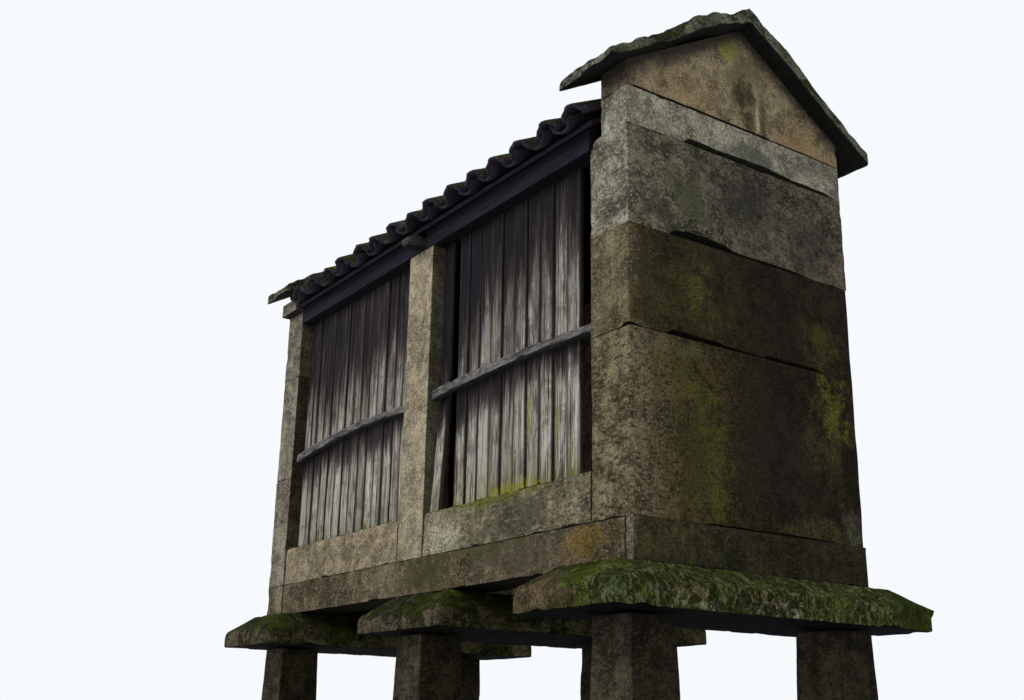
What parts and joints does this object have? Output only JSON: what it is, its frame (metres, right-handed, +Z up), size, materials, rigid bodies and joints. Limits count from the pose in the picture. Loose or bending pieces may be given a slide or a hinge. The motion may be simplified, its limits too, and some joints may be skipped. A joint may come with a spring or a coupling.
{
  "type": "raised granary",
  "caption": "Narrow granary of squared granite and upright boards under a tiled roof, raised from the ground on pillars with sloped rat guard slabs.",
  "frame": {"origin": "on the ground under the middle of the granary", "axes": "+X along the granary towards the near gable, +Y across it towards the right side, +Z up"},
  "size_m": [3.84, 1.9, 3.6667],
  "materials": {
    "granite": "rough, weathered, mossy",
    "weathered_board": "rough, silver grey",
    "old_timber": "rough, dark",
    "roof_tile": "matt, mossy"
  },
  "bodies": {
    "root": {"boards_far_left": "weathered_board", "boards_far_right": "weathered_board", "boards_near_left": "weathered_board", "boards_near_right": "weathered_board", "coping_far_left": "granite", "coping_far_right": "granite", "coping_near_left": "granite", "coping_near_right": "granite", "far_gable_stone_1": "granite", "far_gable_stone_2": "granite", "far_gable_stone_3": "granite", "far_gable_stone_4": "granite", "floor_boards": "weathered_board", "gable_sill_far": "granite", "gable_sill_near": "granite", "guard_slab_far": "granite", "guard_slab_middle": "granite", "guard_slab_near": "granite", "low_panels_left": "granite", "low_panels_right": "granite", "middle_post_left": "granite", "middle_post_right": "granite", "near_gable_stone_1": "granite", "near_gable_stone_2": "granite", "near_gable_stone_3": "granite", "near_gable_stone_4": "granite", "pediment_far": "granite", "pediment_near": "granite", "pillars_far": "granite", "pillars_middle": "granite", "pillars_near": "granite", "rails_left": "old_timber", "rails_right": "old_timber", "ridge_beam": "old_timber", "ridge_tiles": "roof_tile", "roof_deck_left": "old_timber", "roof_deck_right": "old_timber", "roof_tiles_left": "roof_tile", "roof_tiles_right": "roof_tile", "sill_beam_left": "granite", "sill_beam_right": "granite", "tie_beam": "old_timber", "wall_plates_left": "old_timber", "wall_plates_right": "old_timber"}
  },
  "joints": []
}
